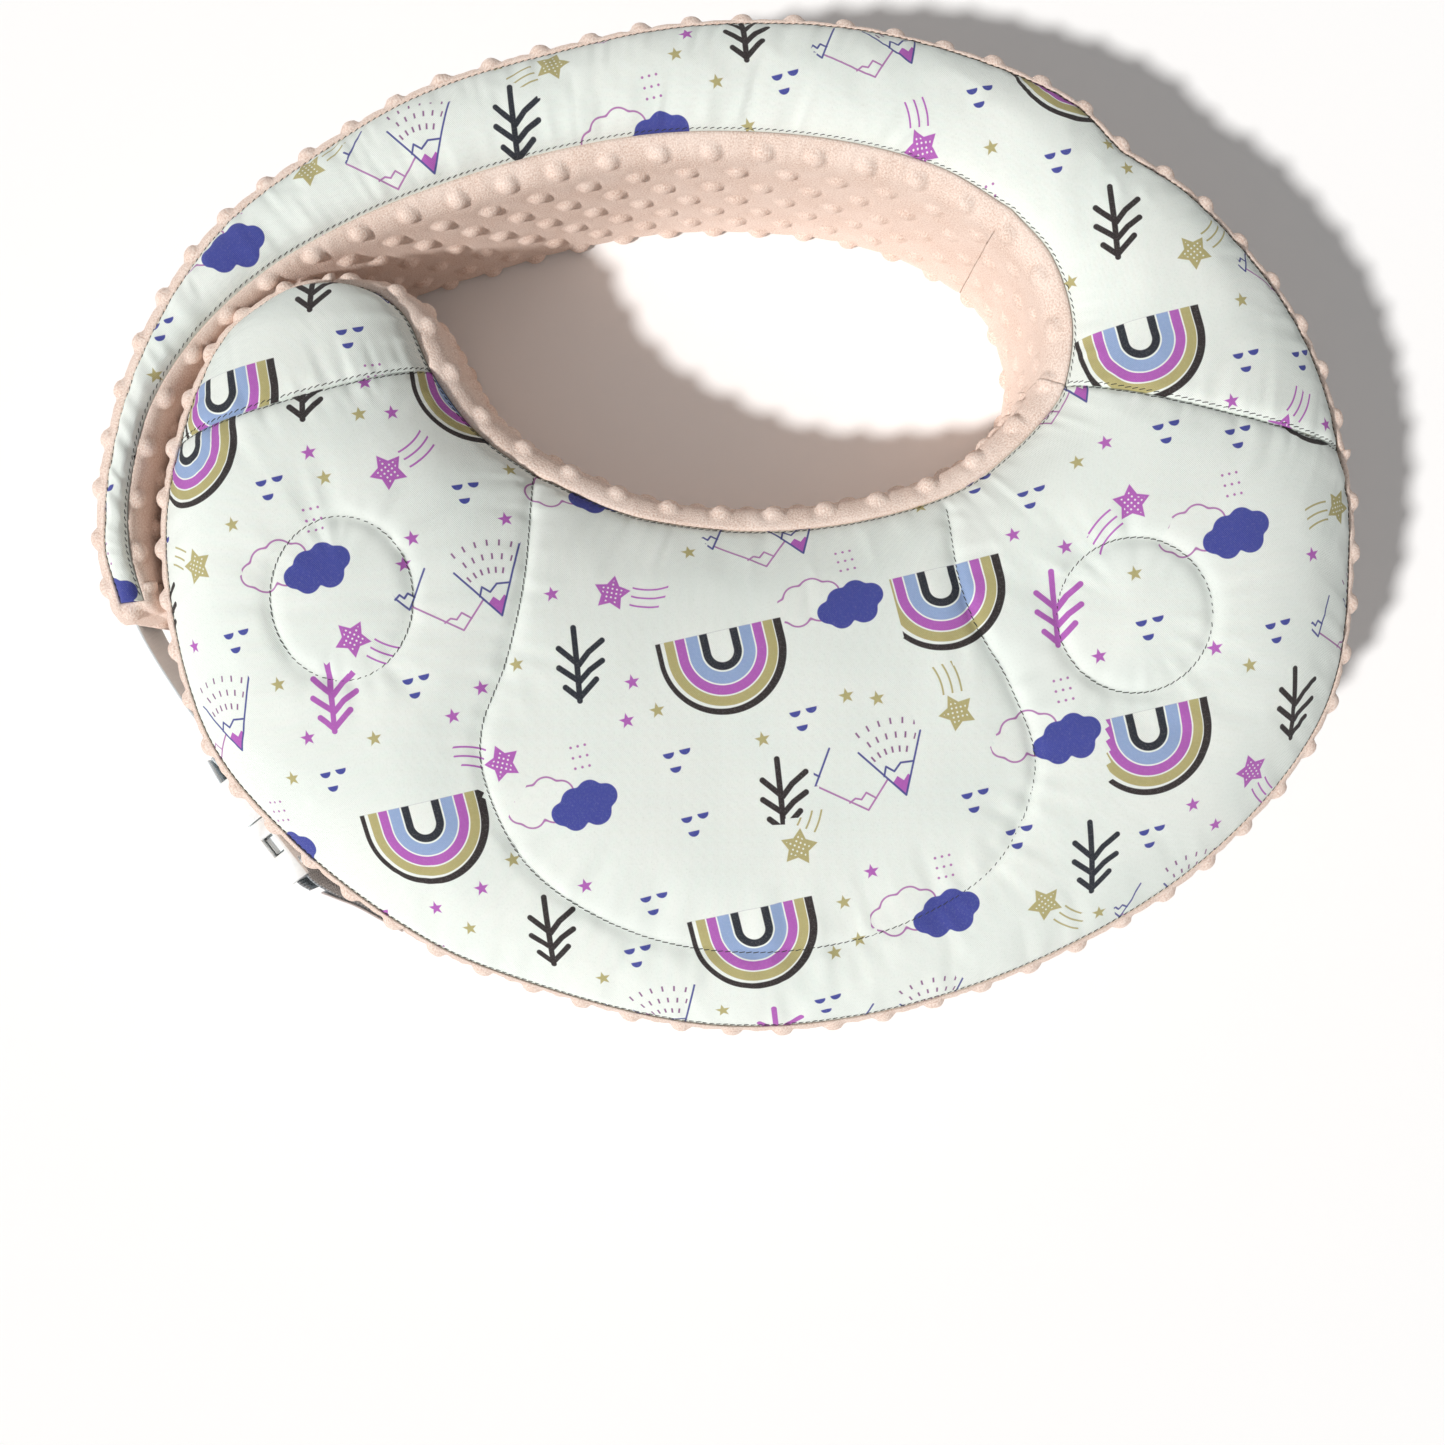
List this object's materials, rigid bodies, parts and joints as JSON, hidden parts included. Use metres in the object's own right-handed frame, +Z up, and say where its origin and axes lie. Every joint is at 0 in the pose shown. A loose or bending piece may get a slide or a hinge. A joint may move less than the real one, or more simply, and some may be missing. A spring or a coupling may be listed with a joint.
{
  "type": "nursing pillow",
  "caption": "Wrap-around nursing pillow: deep C-shaped foam cushion with printed top, dimpled plush sides and a narrow back band that buckles shut.",
  "frame": {"origin": "centre of the bounding box on the plane that the base rests on", "axes": "+X to the right along the pillow's longest extent, +Y towards the back band, +Z up from the base"},
  "size_m": [0.6115, 0.4942, 0.1442],
  "materials": {
    "printed_cotton": "matt printed cotton, fine plain weave, mint-tinted ground",
    "dimpled_plush": "short-pile plush with raised dots, soft sheen",
    "base_cloth": "plain knitted backing cloth, matt",
    "foam": "open-cell polyurethane foam",
    "batting": "polyester batting",
    "elastic": "ribbed elastic, matt",
    "webbing": "ribbed woven webbing",
    "label": "plain satin label",
    "buckle_plastic": "moulded acetal, satin",
    "zip_tape": "woven zip tape and nylon coil",
    "zip_metal": "satin enamelled zinc"
  },
  "bodies": {
    "cushion": {"foam_core": "foam", "wadding_main": "batting", "cover_top_shoulder": "printed_cotton", "cover_top_main": "printed_cotton", "cover_top_tip": "printed_cotton", "cover_base": "base_cloth", "cover_side_inner": "dimpled_plush", "cover_side_outer_left": "dimpled_plush", "cover_side_outer_right": "dimpled_plush", "zip_tape_front": "zip_tape", "zip_tape_rear": "zip_tape", "zip_coil_front": "zip_tape", "zip_coil_rear": "zip_tape", "zip_stop_left": "zip_metal", "zip_stop_right": "zip_metal", "buckle_female": "buckle_plastic", "webbing": "webbing", "label": "label"},
    "band": {"band_foam": "foam", "band_cover_top": "printed_cotton", "band_base": "base_cloth", "band_side_inner": "dimpled_plush", "band_side_outer": "dimpled_plush", "elastic_strap": "elastic"},
    "plug": {"buckle_male": "buckle_plastic", "elastic_loop": "elastic"},
    "upper_prong": {"prong_upper": "buckle_plastic"},
    "lower_prong": {"prong_lower": "buckle_plastic"},
    "slider": {"zip_slider": "zip_metal"},
    "pull": {"zip_pull": "zip_metal"}
  },
  "joints": [
    {"name": "band_swing", "type": "hinge", "parent": "cushion", "child": "band", "pos_m": [0.198, 0.18153, 0.057], "axis": [0, 0, -1], "range_deg": [0, 25], "stiffness_Nm_per_rad": 2},
    {"name": "buckle_release", "type": "slide", "parent": "band", "child": "plug", "axis": [-0.617, 0.787, 0], "range_m": [0, 0.026]},
    {"name": "prong_upper_press", "type": "hinge", "parent": "plug", "child": "upper_prong", "pos_m": [-0.23679, -0.14217, 0.071], "axis": [0.787, 0.617, 0], "range_deg": [0, 6], "stiffness_Nm_per_rad": 0.1},
    {"name": "prong_lower_press", "type": "hinge", "parent": "plug", "child": "lower_prong", "pos_m": [-0.23679, -0.14217, 0.043], "axis": [-0.787, -0.617, 0], "range_deg": [0, 6], "stiffness_Nm_per_rad": 0.1},
    {"name": "zip_slide", "type": "slide", "parent": "cushion", "child": "slider", "axis": [1, 0, 0], "range_m": [0, 0.236]},
    {"name": "zip_pull_swing", "type": "hinge", "parent": "slider", "child": "pull", "pos_m": [-0.11485, -0.12147, 0.0021], "axis": [0, 1, 0], "range_deg": [0, 90]}
  ],
  "couplings": [
    {"joint": "prong_lower_press", "follows": "prong_upper_press", "ratio": 1}
  ]
}
